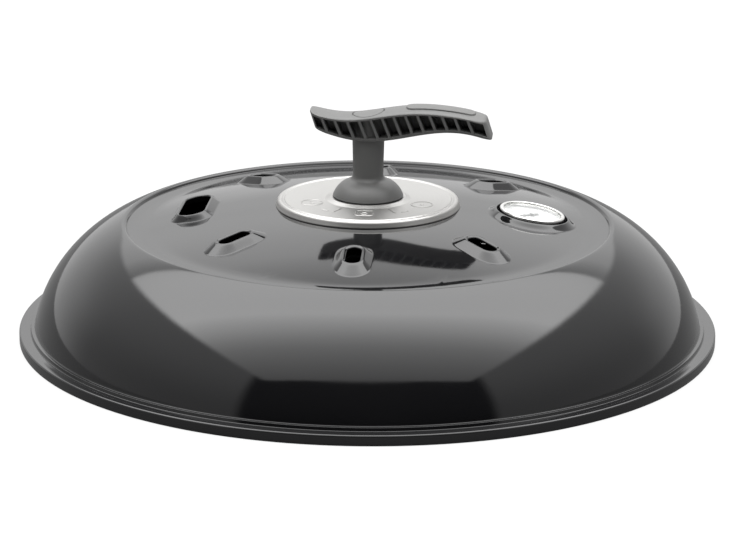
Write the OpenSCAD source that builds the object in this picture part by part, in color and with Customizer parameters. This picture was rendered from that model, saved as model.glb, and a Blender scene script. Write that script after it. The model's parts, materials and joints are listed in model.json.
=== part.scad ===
// Lid of a kettle charcoal grill: an enamelled steel dome with a ring of smoke slots,
// a hang slot and a dial thermometer, and a lever grip that turns a slotted damper inside.
// The lid rests on its rim at z = 0, centred on its axis, with the long arm of the grip
// and the thermometer towards +X.

/* [Dome] */
// Outer diameter over the rolled rim
lid_d = 500; // [470:2:520]
// Thickness of the enamelled steel sheet
sheet = 1.2; // [1:0.1:1.4]
// Height of the outer surface at the centre of the top panel
crown_h = 97; // [95:0.5:100]
// Radius of curvature of the shallow top panel
crown_curve = 722; // [690:2:760]

/* [Openings] */
// Radius of the ring on which the smoke slots lie
ring_r = 120.3; // [117:0.1:122]
// Length of a smoke slot, along the radius
vent_l = 24; // [20:0.5:25]
// Width of a smoke slot
vent_w = 10; // [8:0.5:11]
// Length of the hang slot, across the radius
hang_l = 53; // [46:1:54]
// Width of the hang slot
hang_w = 18; // [15:0.5:19]

/* [Disc] */
// Diameter of the stainless disc under the handle
disc_d = 132; // [126:1:138]
// Thickness of the disc
disc_t = 0.8; // [0.6:0.1:1]

/* [Handle] */
// Depth of the grip, front to back
grip_w = 30; // [26:1:34]
// Height of the grip's wavy top, 20 mm along the long arm
grip_z = 165.3; // [162:0.1:168]
// Diameter of the stem at its top
stem_d = 22.8; // [21:0.2:24]
// Radius of the foot
foot_r = 25.2; // [24:0.2:27]
// Distance between neighbouring ribs
rib_pitch = 8.64; // [8.5:0.02:8.7]
// Thickness of a rib
rib_t = 1.8; // [1.2:0.1:2]
// Lean of the ribs from upright, in degrees
rib_lean = 21.5; // [15:0.5:25]

/* [Damper] */
// Thickness of the damper plate
damper_t = 1; // [0.8:0.1:1.2]
// Turn from open to closed, in degrees
damper_turn = 22.5; // [18:0.5:22.5]

/* [Thermometer] */
// Outer diameter of the bezel
bezel_d = 47; // [46:0.5:48]
// Length of the probe below the top panel
probe_l = 52; // [40:1:60]

/* [Hidden] */
$fn = 64;
eps = 0.01;

enamel = [0.07, 0.07, 0.07];
stainless = [0.78, 0.78, 0.76];
steel = [0.62, 0.62, 0.62];
plastic = [0.27, 0.27, 0.26];

// Angles of the six smoke slots; 0 is the thermometer and 180 the hang slot
VENTS = [45, 90, 135, 225, 270, 315];

// ---- Dome profile -------------------------------------------------------------------
lid_r = lid_d / 2;
flat_r = 22;                        // flat seat at the middle of the panel
shoulder_r = 99.15;                 // radius of the side wall's arc
shoulder_c = [lid_r - 107.8, -11.1];
shoulder_low = 12.3;                // the arc's lowest angle, at the foot of the wall
shoulder_high = 70;                 // and its highest, where the crest takes over
crest_r = 3.2;                      // rounding of the crest around the panel
crest_turn = 150;
roll_r = 2;                         // rounding of the rim's upper edge
ledge_z = 7.3;                      // top of the ledge that sits on the bowl

function panel_z(r) = crown_h - pow(max(r, flat_r), 2) / (2 * crown_curve);
function arc(c, r, a0, a1, n) = [for (i = [0 : n]) let (a = a0 + (a1 - a0) * i / n)
    c + r * [cos(a), sin(a)]];

crest_c = shoulder_c + (shoulder_r - crest_r) * [cos(shoulder_high), sin(shoulder_high)];
// Towards the crest the panel levels out: radius and height above its curve
EDGE = [[157, 1.25], [168.2, 3.15], [171.4, 3.86]];

// Outer surface, from the axis out and down to the rim's edge
OUTER = concat(
    [[0, panel_z(0)]],
    [for (r = [flat_r, 44, 66, 92, 119, 146]) [r, panel_z(r)]],
    [for (e = EDGE) [e[0], panel_z(e[0]) + e[1]]],
    arc(crest_c, crest_r, crest_turn, shoulder_high, 5),
    arc(shoulder_c, shoulder_r, shoulder_high - 4, shoulder_low, 13),
    [[lid_r - 8.9, ledge_z + 2.5], [lid_r - 8.1, ledge_z + 0.5], [lid_r - 7.6, ledge_z]],
    arc([lid_r - roll_r, ledge_z - roll_r], roll_r, 90, 0, 5),
    [[lid_r, 0]]);

// A copy of a line of points moved by t to its right-hand side, with mitred corners
function unit(v) = v / norm(v);
function left_of(v) = [-v[1], v[0]];
function side_of(p, q) = left_of(unit(q - p));
function moved(pts, t) = [for (i = [0 : len(pts) - 1])
    let (a = i == 0 ? side_of(pts[0], pts[1]) : side_of(pts[i - 1], pts[i]),
         b = i == len(pts) - 1 ? a : side_of(pts[i], pts[i + 1]))
    pts[i] - t * (a + b) / (1 + a * b)];
function reversed(pts) = [for (i = [len(pts) - 1 : -1 : 0]) pts[i]];
module shell_profile(pts, t) polygon(concat(pts, reversed(moved(pts, t))));

// ---- Placing things on the top panel ------------------------------------------------
function tilt(r) = atan(r / crown_curve);
module on_panel(angle, r) rotate([0, 0, angle]) translate([r, 0, panel_z(r)])
    rotate([0, tilt(r), 0]) children();
module obround(l, w) {
    square([l - w, w], center = true);
    for (s = [-1, 1]) translate([s * (l - w) / 2, 0]) circle(d = w);
}
module tube(r_out, r_in, z0, z1) translate([0, 0, z0]) difference() {
    cylinder(r = r_out, h = z1 - z0);
    translate([0, 0, -1]) cylinder(r = r_in, h = z1 - z0 + 2);
}
module hex(flats, z0, z1) translate([0, 0, z0])
    cylinder(d = flats / cos(30), h = z1 - z0, $fn = 6);

vent_boss_h = 5.3;    // height of a smoke slot's raised collar
hang_boss_h = 4.3;    // and of the hang slot's
boss_margin = 3.2;    // collar outside the slot
collar_h = 4.5;       // height of the collar around the thermometer
seat_r = 25.2;        // radius of the thermometer's recess
gauge_r = ring_r - 3.6;
gauge_drop = 0.8;     // the thermometer's datum lies this far under the panel's surface
seat_w = -1.5;        // floor of its recess, from the datum
collar_wall = 2;

module boss(l, w, h, root) translate([0, 0, -root])
    linear_extrude(h + root) obround(l + 2 * boss_margin, w + 2 * boss_margin);
module boss_hollow(l, w, h) {
    margin = 2 * (boss_margin - sheet);
    translate([0, 0, -4]) linear_extrude(h - sheet + 4) obround(l + margin, w + margin);
    linear_extrude(h + 1) obround(l, w);
}

module lid_dome() color(enamel) difference() {
    union() {
        rotate_extrude($fn = 128) shell_profile(OUTER, sheet);
        for (a = VENTS) on_panel(a, ring_r) boss(vent_l, vent_w, vent_boss_h, 0.9);
        on_panel(180, hang_r) rotate([0, 0, 90]) boss(hang_l, hang_w, hang_boss_h, 1.8);
        in_seat() translate([0, 0, seat_w - sheet])
            cylinder(r = seat_r + collar_wall, h = collar_h - seat_w + sheet);
    }
    for (a = VENTS) on_panel(a, ring_r) boss_hollow(vent_l, vent_w, vent_boss_h);
    on_panel(180, hang_r) rotate([0, 0, 90]) boss_hollow(hang_l, hang_w, hang_boss_h);
    in_seat() {
        translate([0, 0, seat_w]) cylinder(r = seat_r, h = 20);
        translate([0, 0, -10]) cylinder(r = gauge_thread_r + 0.4, h = 20);
    }
    translate([0, 0, crown_h - 10]) cylinder(r = bushing_r + 0.1, h = 20);
    rotate([0, 0, stop_angle]) translate([stop_r, 0, crown_h - 10])
        cylinder(r = stop_pin_r + 0.05, h = 20);
}
hang_r = ring_r + 3.7;

// ---- Disc, bushing and what clamps them ---------------------------------------------
disc_r = disc_d / 2;
hub_z = panel_z(0);                 // flat seat of the dome
disc_top = 100.5;                   // raised middle of the disc
disc_edge_z = 98.9;
bushing_r = 6;
bolt_r = 4;
bore_r = bolt_r + 0.08;             // running fit of the bolt in the bushing
dome_under = hub_z - sheet;
bushing_end = dome_under - 4.2;

DISC = concat([[0, disc_top], [foot_r - 0.2, disc_top], [33, disc_edge_z],
               [disc_r - 4.4, disc_edge_z], [disc_r - 3.6, disc_edge_z + 0.2]],
              arc([disc_r - 2, disc_edge_z - 1.8], 2, 90, 0, 4),
              [[disc_r, panel_z(disc_r) + 0.3]]);

module heat_shield_disc() color(stainless) difference() {
    rotate_extrude($fn = 96) shell_profile(DISC, disc_t);
    translate([0, 0, 90]) cylinder(r = bushing_r + 0.1, h = 20);
}
module disc_spacer() color(steel) tube(17, bushing_r + 0.1, hub_z, disc_top - disc_t);
module pivot_bushing() color([0.80, 0.66, 0.35]) difference() {
    union() {
        tube(10, bore_r, disc_top, disc_top + 1);
        tube(bushing_r, bore_r, bushing_end, disc_top + eps);
    }
}
module backing_washer() color(steel)
    tube(20, bushing_r + 0.2, dome_under - 0.8, dome_under);
module bushing_nut() color([0.80, 0.66, 0.35]) difference() {
    hex(19, dome_under - 3.2, dome_under - 0.8);
    translate([0, 0, dome_under - 4]) cylinder(r = bushing_r + 0.05, h = 5);
}

// A rivet in the dome, hidden by the disc, runs in a curved slot in the damper
stop_r = 45;
stop_angle = 79;
stop_pin_r = 2;
module stop_pin() color(steel) rotate([0, 0, stop_angle]) translate([stop_r, 0, 0]) {
    translate([0, 0, panel_z(stop_r) + 0.3]) cylinder(r = 3.4, h = 1);
    translate([0, 0, damper_z - 3]) cylinder(r = stop_pin_r, h = panel_z(stop_r) - damper_z + 3.4);
}

// ---- Handle --------------------------------------------------------------------------
grip_left = -42.2;                  // top corner of the short arm
grip_right = 84;                    // top corner of the long arm
grip_slim = 4;                      // how much narrower the short arm's end is
end_lean = 4.6;                     // how far each end runs out to +X at its foot
flange_top_t = 3.2;
flange_low_t = 2;
web_t = 3;
end_wall = 2.6;
seam_z = 143.2;                     // joint between grip and stem
head_seat_z = 151;                  // where the bolt's washer bears
cap_floor_z = 158.8;
cap_r = 11.1;
boss_r = 10;
socket_r = 8.5;

// The two waves of the grip, as powers of the distance from x = 20 in units of 60
function wave(c, u, i = 0) = i == len(c) ? 0 : c[i] + u * wave(c, u, i + 1);
function grip_top(x) = grip_z + wave([0, 8.2, -10, -11.8, 13.1, 2.3, -5.8], (x - 20) / 60);
function grip_low(x) = grip_z - 19.8 + wave([0, 10.9, 9.1, -17.5, -4.3, 4.8], (x - 20) / 60);
function spread(a, b, n) = [for (i = [0 : n]) a + (b - a) * i / n];

// Side view of the grip, drawn with y standing for height
module grip_outline(top_in = 0, low_in = 0, end_in = 0) polygon(concat(
    [for (x = spread(grip_left + end_in, grip_right - end_in, 28)) [x, grip_top(x) - top_in]],
    [for (x = spread(grip_right + end_lean - end_in, grip_left + end_lean + end_in - 0.8, 28))
        [x, grip_low(x) + low_in]]));
module ribs_2d() for (i = [0 : 12]) translate([-29.2 + i * rib_pitch, 152])
    rotate(rib_lean) square([rib_t, 40], center = true);
module pockets_2d() difference() {
    grip_outline(flange_top_t, flange_low_t, end_wall);
    ribs_2d();
}
module upright(depth) rotate([90, 0, 0]) linear_extrude(depth, center = true) children();

// Plan view of the grip, with rounded corners
module grip_plan() {
    corner = 8;
    x0 = grip_left - 1;
    x1 = grip_right + end_lean + 0.6;
    half = grip_w / 2;
    left = [x0 + corner, half - grip_slim / 2 - corner];
    right = [x1 - corner, half - corner];
    polygon(concat(arc(right, corner, 0, 88, 6), arc(left, corner, 92, 180, 6),
                   arc([left[0], -left[1]], corner, 180, 268, 6),
                   arc([right[0], -right[1]], corner, 272, 360, 6)));
}
// Low raised pad on the long arm
pad_h = 1.2;
module grip_pad() upright(14.4) polygon(concat(
    [for (x = spread(27, 76, 16)) [x, grip_top(x) + pad_h]],
    [for (x = spread(76, 27, 16)) [x, grip_top(x) - 1]]));

module handle_grip() color(plastic) difference() {
    union() {
        intersection() {
            union() {
                upright(grip_w) difference() {
                    grip_outline();
                    pockets_2d();
                }
                upright(web_t) grip_outline();
            }
            translate([0, 0, 130]) linear_extrude(50) grip_plan();
        }
        grip_pad();
        translate([0, 0, seam_z]) cylinder(d = stem_d, h = 3.2);
        translate([0, 0, seam_z]) cylinder(r = boss_r, h = 17);
    }
    translate([0, 0, 130]) cylinder(r = bolt_r + 0.25, h = 50);
    translate([0, 0, head_seat_z]) cylinder(r = socket_r, h = 30);
    translate([0, 0, cap_floor_z]) cylinder(r = cap_r + 0.1, h = 30);
}

module screw_cap() color(plastic) {
    intersection() {
        translate([0, 0, cap_floor_z]) cylinder(r = cap_r, h = 10);
        upright(grip_w) grip_outline();
    }
    tube(socket_r - 0.1, socket_r - 1.2, cap_floor_z - 1.1, cap_floor_z + eps);
}

foot_z = disc_top + 0.8;
foot_arc_c = [foot_r - 16.9, 96];
foot_arc_r = 17.7;
stem_low_r = stem_d / 2 - 0.6;
fillet_r = 4;
fillet_c = [stem_low_r + fillet_r, foot_arc_c[1]
    + sqrt(pow(foot_arc_r + fillet_r, 2) - pow(stem_low_r + fillet_r - foot_arc_c[0], 2))];
foot_high = atan2(fillet_c[1] - foot_arc_c[1], fillet_c[0] - foot_arc_c[0]);
foot_low = asin((foot_z - foot_arc_c[1]) / foot_arc_r);

module handle_stem() color(plastic) difference() {
    rotate_extrude($fn = 72) polygon(concat(
        [[0, foot_z]],
        arc(foot_arc_c, foot_arc_r, foot_low, foot_high, 8),
        arc(fillet_c, fillet_r, 180 + foot_high - 8, 180, 4),
        [[stem_d / 2, seam_z], [0, seam_z]]));
    cylinder(r = bolt_r + 0.25, h = 200);
    translate([0, 0, foot_z - 1]) cylinder(r = 12, h = 3.2);
}
module foot_gasket() color([0.12, 0.12, 0.12])
    tube(foot_r - 0.5, 13, disc_top + 0.3, foot_z);

// The bolt runs from the grip through the bushing to the nut under the damper
head_z = head_seat_z + 1.2;
damper_z = 89;                      // top of the damper's flat middle
damper_under = damper_z - damper_t;
module handle_bolt() color(steel) {
    hex(13, head_z, head_z + 5.3);
    translate([0, 0, head_z - 75]) cylinder(r = bolt_r, h = 75 + eps);
}
module bolt_head_washer() color(steel) tube(8, bolt_r + 0.2, head_seat_z, head_z);
module damper_spacer() color(steel) tube(9, bolt_r + 0.2, damper_z, bushing_end - 0.3);
module damper_washer() color(steel) tube(12, bolt_r + 0.2, damper_under - 1.2, damper_under);
module spring_washer() color(steel) difference() {
    tube(7, bolt_r + 0.2, damper_under - 3.2, damper_under - 1.2);
    translate([5.5, 0, damper_under - 2.2]) rotate([20, 0, 0]) cube([5, 0.8, 6], center = true);
}
module lock_nut() color(steel) difference() {
    union() {
        hex(13, damper_under - 8.2, damper_under - 3.2);
        translate([0, 0, damper_under - 9.7]) cylinder(r = 5.6, h = 1.6);
    }
    translate([0, 0, damper_under - 12]) cylinder(r = bolt_r + 0.05, h = 14);
}

// ---- Damper --------------------------------------------------------------------------
damper_hub_r = 34;
damper_flat_r = 92;
damper_r = 136;
wing_from = 17;
wing_span = 124.5;
damper_drop = (damper_r - damper_flat_r) * tan(tilt(ring_r));
DAMPER = [[0, damper_z], [damper_flat_r, damper_z], [damper_r, damper_z - damper_drop]];
module wedge(r, from, span) polygon([[0, 0],
    for (a = [from, from + span / 2, from + span]) r / cos(span / 4) * [cos(a), sin(a)]]);
module damper_plate() color(enamel) difference() {
    rotate_extrude($fn = 96) shell_profile(DAMPER, damper_t);
    // The gaps between the wings, outside the hub
    translate([0, 0, damper_z - 20]) linear_extrude(30) difference() {
        for (a = [0, 180]) wedge(damper_r + 5, a + wing_from + wing_span, 180 - wing_span);
        circle(r = damper_hub_r);
    }
    for (a = VENTS) on_panel(a, ring_r) translate([0, 0, -12])
        linear_extrude(14) obround(vent_l + 1.4, vent_w + 1.4);
    // The curved slot for the stop pin, square at its ends
    slot_half = stop_pin_r + 0.35;
    slot_spare = 3.3;
    translate([0, 0, damper_z - 4]) linear_extrude(6) intersection() {
        difference() {
            circle(r = stop_r + slot_half);
            circle(r = stop_r - slot_half);
        }
        wedge(2 * stop_r, stop_angle - damper_turn - slot_spare, damper_turn + 2 * slot_spare);
    }
    translate([0, 0, damper_z - 4]) cylinder(r = bolt_r + 0.15, h = 6);
}

// ---- Thermometer, drawn upright and then set into its tilted seat --------------------
bezel_r = bezel_d / 2;
case_r = bezel_r - 0.9;
case_foot = seat_w + 0.8;
case_top = 3.8;
gauge_thread_r = 5;
probe_r = 3;
module in_seat() on_panel(0, gauge_r) translate([0, 0, -gauge_drop]) children();
module turned(pts, n = 72) rotate_extrude($fn = n) polygon(pts);

module thermometer_case() color(stainless) in_seat() difference() {
    turned([[0, case_foot], [case_r - 1, case_foot], [case_r, case_foot + 1],
            [case_r, case_top], [case_r - 0.8, case_top], [case_r - 0.8, case_foot + 1.6],
            [case_r - 2.6, case_foot + 1.6], [case_r - 2.6, case_foot + 0.8],
            [0, case_foot + 0.8]]);
    translate([0, 0, -5]) cylinder(r = gauge_thread_r + 0.05, h = 10);
}
module thermometer_bezel() color(stainless) in_seat() turned([
    [bezel_r - 0.85, 2.4], [bezel_r, 2.4], [bezel_r, 5.2], [bezel_r - 0.3, 5.75],
    [bezel_r - 0.9, 6], [bezel_r - 2, 6], [bezel_r - 2.6, 5.6], [bezel_r - 3, 5],
    [bezel_r - 0.85, 5]]);
module thermometer_lens() color([0.9, 0.95, 0.95, 0.4]) in_seat()
    translate([0, 0, case_top]) cylinder(r = bezel_r - 0.95, h = 1.2);
module thermometer_dial() color([0.93, 0.93, 0.91]) in_seat()
    tube(case_r - 0.9, 1, case_foot + 1.6, case_foot + 2.1);
module thermometer_pointer() color([0.1, 0.1, 0.1]) in_seat() difference() {
    union() {
        tube(1.8, 0.6, 1.8, 2.8);
        translate([0, 0, 2]) linear_extrude(0.4)
            rotate(225) polygon([[-6, -0.9], [0, -1.2], [17, -0.2], [17, 0.2], [0, 1.2], [-6, 0.9]]);
    }
    cylinder(r = 0.6, h = 5);
}
module pointer_shaft() color(steel) in_seat() translate([0, 0, 4 - probe_l])
    cylinder(r = 0.6, h = probe_l - 1.3, $fn = 24);
module probe_tube() color(stainless) in_seat() turned([
    [0, -probe_l], [probe_r - 1, -probe_l], [probe_r, 1 - probe_l], [probe_r, case_foot + 0.8],
    [probe_r - 0.5, case_foot + 0.8], [probe_r - 0.5, 1 - probe_l], [0, 1 - probe_l]], 32);
module thermometer_bushing() color([0.80, 0.66, 0.35]) in_seat() {
    tube(gauge_thread_r, probe_r + 0.05, -15, case_foot + 0.8 + eps);
    tube(7, probe_r + 0.05, case_foot + 0.8, case_foot + 1.4);
}
module thermometer_gasket() color([0.5, 0.2, 0.15]) in_seat()
    tube(19, gauge_thread_r + 0.2, seat_w, case_foot);
module thermometer_washer() color(steel) in_seat()
    tube(9.5, gauge_thread_r + 0.2, seat_w - sheet - 1, seat_w - sheet);
module thermometer_wing_nut() color(steel) in_seat()
    translate([0, 0, seat_w - sheet - 1]) difference() {
        union() {
            rotate([180, 0, 0]) cylinder(r1 = 8, r2 = 6.6, h = 6);
            rotate([90, 0, 90]) linear_extrude(2.4, center = true) for (s = [-1, 1])
                polygon([[s * 5, -1.2], [s * 10, -1.4], [s * 16.5, -7.5], [s * 16.5, -12],
                         [s * 13, -13], [s * 10.5, -10], [s * 5, -5.5]]);
        }
        translate([0, 0, -14]) cylinder(r = gauge_thread_r + 0.05, h = 16);
    }

// Flat strip wound into a helix inside the probe
coil_r = 1.6;
coil_turns = 9;
coil_steps = 14;
coil_low = 4 - probe_l;
coil_high = coil_low + 24;
module bimetal_coil() color([0.72, 0.6, 0.45]) in_seat() {
    n = coil_turns * coil_steps;
    strip = [[-0.2, -0.6], [0.2, -0.6], [0.2, 0.6], [-0.2, 0.6]];
    pts = [for (i = [0 : n]) let (a = 360 * i / coil_steps, z = coil_low + (coil_high - coil_low) * i / n)
        for (p = strip) [(coil_r + p[0]) * cos(a), (coil_r + p[0]) * sin(a), z + p[1]]];
    walls = [for (i = [0 : n - 1], k = [0 : 3]) let (m = (k + 1) % 4)
        each [[4 * i + k, 4 * i + 4 + k, 4 * i + m], [4 * i + m, 4 * i + 4 + k, 4 * i + 4 + m]]];
    polyhedron(points = pts, faces = concat(walls, [[0, 1, 2, 3], [4 * n + 3, 4 * n + 2, 4 * n + 1, 4 * n]]));
}

lid_dome();
heat_shield_disc();
disc_spacer();
pivot_bushing();
backing_washer();
bushing_nut();
stop_pin();
handle_grip();
handle_stem();
screw_cap();
handle_bolt();
bolt_head_washer();
foot_gasket();
damper_spacer();
damper_plate();
damper_washer();
spring_washer();
lock_nut();
thermometer_case();
thermometer_bezel();
thermometer_lens();
thermometer_dial();
thermometer_pointer();
pointer_shaft();
bimetal_coil();
probe_tube();
thermometer_bushing();
thermometer_gasket();
thermometer_washer();
thermometer_wing_nut();
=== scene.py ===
import json
import math

import bmesh
import bpy
from mathutils import Matrix, Vector


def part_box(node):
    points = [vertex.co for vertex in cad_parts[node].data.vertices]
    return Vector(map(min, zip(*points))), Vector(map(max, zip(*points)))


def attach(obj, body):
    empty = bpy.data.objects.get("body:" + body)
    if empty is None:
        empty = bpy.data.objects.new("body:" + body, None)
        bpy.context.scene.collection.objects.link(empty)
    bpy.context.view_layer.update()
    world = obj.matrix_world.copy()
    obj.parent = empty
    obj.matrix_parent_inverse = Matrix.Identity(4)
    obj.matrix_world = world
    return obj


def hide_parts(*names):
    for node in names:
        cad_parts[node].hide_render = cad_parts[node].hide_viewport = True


bl_info = {
    "name": "Kettle Grill Lid",
    "version": (1, 0, 0),
    "blender": (4, 5, 0),
    "location": "View3D > Sidebar > Grill Lid",
    "description": "Builds the enamelled lid of a kettle grill round its packed frame",
    "category": "Object",
}

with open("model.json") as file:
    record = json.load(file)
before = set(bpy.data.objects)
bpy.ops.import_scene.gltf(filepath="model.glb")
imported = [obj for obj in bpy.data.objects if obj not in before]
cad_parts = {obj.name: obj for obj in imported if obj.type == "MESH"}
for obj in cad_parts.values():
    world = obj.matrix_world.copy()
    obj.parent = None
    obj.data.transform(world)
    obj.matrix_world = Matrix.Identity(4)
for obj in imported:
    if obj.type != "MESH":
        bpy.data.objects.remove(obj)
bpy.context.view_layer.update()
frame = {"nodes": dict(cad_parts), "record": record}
MM = 0.001

# ---- Shape of the lid, in millimetres ------------------------------------------------------
# It follows the frame's, except that the fillet at the crest is tighter.
FLAT_R = 22.0                # flat seat in the middle of the top panel
PANEL_CURVE = 722.0          # radius of curvature of the panel
PANEL_Z = 97.0               # height of the panel's curve at the axis
EDGE_R, CREST_FOOT_R, EDGE_LIFT = 154.0, 172.0, 3.4    # the fillet up to the crest
RING_R = 120.3               # ring of the smoke slots
HANG_R = 124.0               # centre of the hang slot
GAUGE_R, GAUGE_DROP = 116.7, 0.8    # the thermometer, and its depth under the panel
SMOKE_SLOTS = (45, 90, 135, 225, 270, 315)
SEAT_TILT = math.atan(GAUGE_R / PANEL_CURVE)
INNER_R, OUTER_R = 80.0, 160.0    # the belt of the panel that holds the openings
ARC_STEPS, INNER_STEPS, SIDE_STEPS = 24, 16, 12
CENTRE_HOLE_R = 6.1          # hole on the axis, through the panel and the disc
SMOKE_HALF, HANG_HALF = 7.0, 17.5    # half lengths of the slots' spines
WALL_C, WALL_R = (142.2, -11.1), 99.15
WALL_HIGH, WALL_LOW = 68.5, 12.8     # angles at which the wall's arc starts and ends
CREST_C, CREST_R = (175.02, 79.06), 3.2
CREST_START, CREST_END = 140, 70     # angles of the crest's arc
LEDGE_Z, LIP_R = 7.3, 1.3            # top of the rim's ledge, and the round of its lip
DISC_Z, DISC_TOP_Z = 98.9, 100.5
DISC_ROLL_R, DISC_ROLL_IN = 2.7, 3.6    # roll of the disc's edge, and its centre's inset
BEAD_FOOT, BEAD_BASE, BEAD_TOP = -0.3, 0.1, 0.32    # heights of the disc's pressed beads
SEAM_Z = 143.2               # where the grip meets the stem
STEM_BORE_R, STEM_TOP_R = 4.3, 11.4
FOOT_C, FOOT_R, STEM_FILLET = (8.3, 96.0), 17.7, 4.0
FOOT_LOW_Z, STEM_WAIST_R = 101.7, 10.8
GRIP_LEFT, GRIP_RIGHT = -37.7, 86.35    # ends of the grip, level with its middle
GRIP_MIDDLE_Z = 152.0
RIB_LEAN, END_LEAN = 0.394, 0.32
FIRST_RIB, RIB_PITCH, RIB_COUNT = -29.2, 8.64, 13
RIB_HALF = 0.95
GRIP_HALF, GRIP_CORNER, GRIP_ROUND = 15.0, 8.0, 1.3    # half depth, corners in plan, top edge
GRIP_SLIM = 2.0              # how much slimmer each side is at the left end
END_INSETS = (0, 0.08, 0.3, 0.7, 1.2, 1.8)    # stations that round off the grip's ends
WEB_HALF, BOSS_R = 1.5, 10.0    # the web and the boss behind the pockets
PAD_START, PAD_END, PAD_HALF, PAD_CORNER = 27.0, 76.0, 7.2, 5.0


def panel_z(r):
    """Height of the top panel's outer surface."""
    fillet = max(0.0, r - EDGE_R) / (CREST_FOOT_R - EDGE_R)
    return PANEL_Z - max(r, FLAT_R) ** 2 / (2 * PANEL_CURVE) + EDGE_LIFT * fillet ** 2


# ---- Drawing -------------------------------------------------------------------------------
def arc(centre, radius, start, end, steps):
    """Points on an arc, with its angles in degrees."""
    angles = [math.radians(start + (end - start) * i / steps) for i in range(steps + 1)]
    return [(centre[0] + radius * math.cos(a), centre[1] + radius * math.sin(a)) for a in angles]


def rounded(corners, steps=4, closed=False):
    """Points of a line whose corners, each given as x, y and radius, are rounded."""
    line = []
    for i, (x, y, radius) in enumerate(corners):
        here = Vector((x, y))
        if radius == 0 or (not closed and i in (0, len(corners) - 1)):
            line.append((x, y))
            continue
        before = (Vector(corners[i - 1][:2]) - here).normalized()
        after = (Vector(corners[(i + 1) % len(corners)][:2]) - here).normalized()
        half = before.angle(after) / 2
        centre = here + (before + after).normalized() * radius / math.sin(half)
        first = here + before * radius / math.tan(half) - centre
        last = here + after * radius / math.tan(half) - centre
        turn = math.pi - 2 * half
        for k in range(steps + 1):
            share = k / steps
            point = centre + (first * math.sin((1 - share) * turn)
                              + last * math.sin(share * turn)) / math.sin(turn)
            line.append((point.x, point.y))
    return line


def lathe(bm, profile, steps=96, closed=False):
    """Spins a line of radius and height points a full turn round the Z axis."""
    verts = [bm.verts.new((r, 0, z)) for r, z in profile]
    pairs = list(zip(verts, verts[1:]))
    if closed:
        pairs.append((verts[-1], verts[0]))
    edges = [bm.edges.new(pair) for pair in pairs]
    made = bmesh.ops.spin(bm, geom=verts + edges, cent=(0, 0, 0), axis=(0, 0, 1), dvec=(0, 0, 0),
                          angle=math.tau, steps=steps, use_merge=True, use_duplicate=False)
    return made


def ring(bm, points, closed=True):
    """A loop of new vertices and edges through the points."""
    verts = [bm.verts.new(p) for p in points]
    for pair in zip(verts, verts[1:] + verts[:1] if closed else verts[1:]):
        bm.edges.new(pair)
    return verts


def grow(bm, loop, points):
    """Extrudes a closed loop of vertices and puts the new loop on the points, one for each."""
    edges = [bm.edges.get(pair) for pair in zip(loop, loop[1:] + loop[:1])]
    made = set(bmesh.ops.extrude_edge_only(bm, edges=edges)["geom"])
    fresh = []
    for vert in loop:
        others = [edge.other_vert(vert) for edge in vert.link_edges]
        fresh.append(next(other for other in others if other in made))
    for vert, point in zip(fresh, points):
        vert.co = point
    return fresh


def bridge(bm, first, last):
    """Closes a hollow bead with a strip of faces between its first and last loops."""
    edges = [bm.edges.get(pair) for loop in (first, last)
             for pair in zip(loop, loop[1:] + loop[:1])]
    bmesh.ops.bridge_loops(bm, edges=edges)


def seat(bm, verts=None):
    """Moves upright work into the thermometer's tilted seat."""
    place = Matrix.Translation((GAUGE_R, 0, panel_z(GAUGE_R))) @ Matrix.Rotation(SEAT_TILT, 4, "Y")
    place = place @ Matrix.Translation((0, 0, -GAUGE_DROP))
    bmesh.ops.transform(bm, matrix=place, verts=verts or bm.verts)


def smoothed(mesh, sharp=34):
    mesh.shade_smooth()
    mesh.set_sharp_from_angle(angle=math.radians(sharp))


def piece(name, bm, finish, slot, body, *nodes, sharp=34, weld=0.002):
    """Makes a bmesh drawn in millimetres an object that rides on a body and stands for nodes."""
    bmesh.ops.remove_doubles(bm, verts=bm.verts, dist=weld)
    bmesh.ops.recalc_face_normals(bm, faces=bm.faces)
    bmesh.ops.scale(bm, vec=(MM, MM, MM), verts=bm.verts)
    mesh = bpy.data.meshes.new(name)
    bm.to_mesh(mesh)
    bm.free()
    smoothed(mesh, sharp)
    mesh.materials.append(finish)
    made = bpy.data.objects.new(name, mesh)
    bpy.context.scene.collection.objects.link(made)
    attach(made, body)
    if nodes:
        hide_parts(*nodes)
    return made


def wall(made, thickness):
    """Gives a sheet its thickness, towards its inner side."""
    solid = made.modifiers.new("Thickness", "SOLIDIFY")
    solid.thickness = thickness * MM
    solid.offset = -1
    solid.use_even_offset = True
    solid.use_quality_normals = True


# ---- Shader sums ---------------------------------------------------------------------------
class Value:
    """A shader socket. Sums written with it add their own Math nodes."""

    def __init__(self, board, socket):
        self.board = board
        self.socket = socket

    def __add__(self, other):
        return self.board.maths("ADD", self, other)

    __radd__ = __add__

    def __mul__(self, other):
        return self.board.maths("MULTIPLY", self, other)

    __rmul__ = __mul__

    def __sub__(self, other):
        return self.board.maths("SUBTRACT", self, other)

    def __rsub__(self, other):
        return self.board.maths("SUBTRACT", other, self)

    def __truediv__(self, other):
        return self.board.maths("DIVIDE", self, other)

    def __rtruediv__(self, other):
        return self.board.maths("DIVIDE", other, self)

    def __pow__(self, other):
        return self.board.maths("POWER", self, other)

    def __abs__(self):
        return self.board.maths("ABSOLUTE", self)

    def step(self, low, high):
        """0 below low, 1 above high and smooth between."""
        return self.board.add("ShaderNodeMapRange", {"interpolation_type": "SMOOTHSTEP"},
                              {0: self, 1: low, 2: high, 3: 0.0, 4: 1.0})


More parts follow.
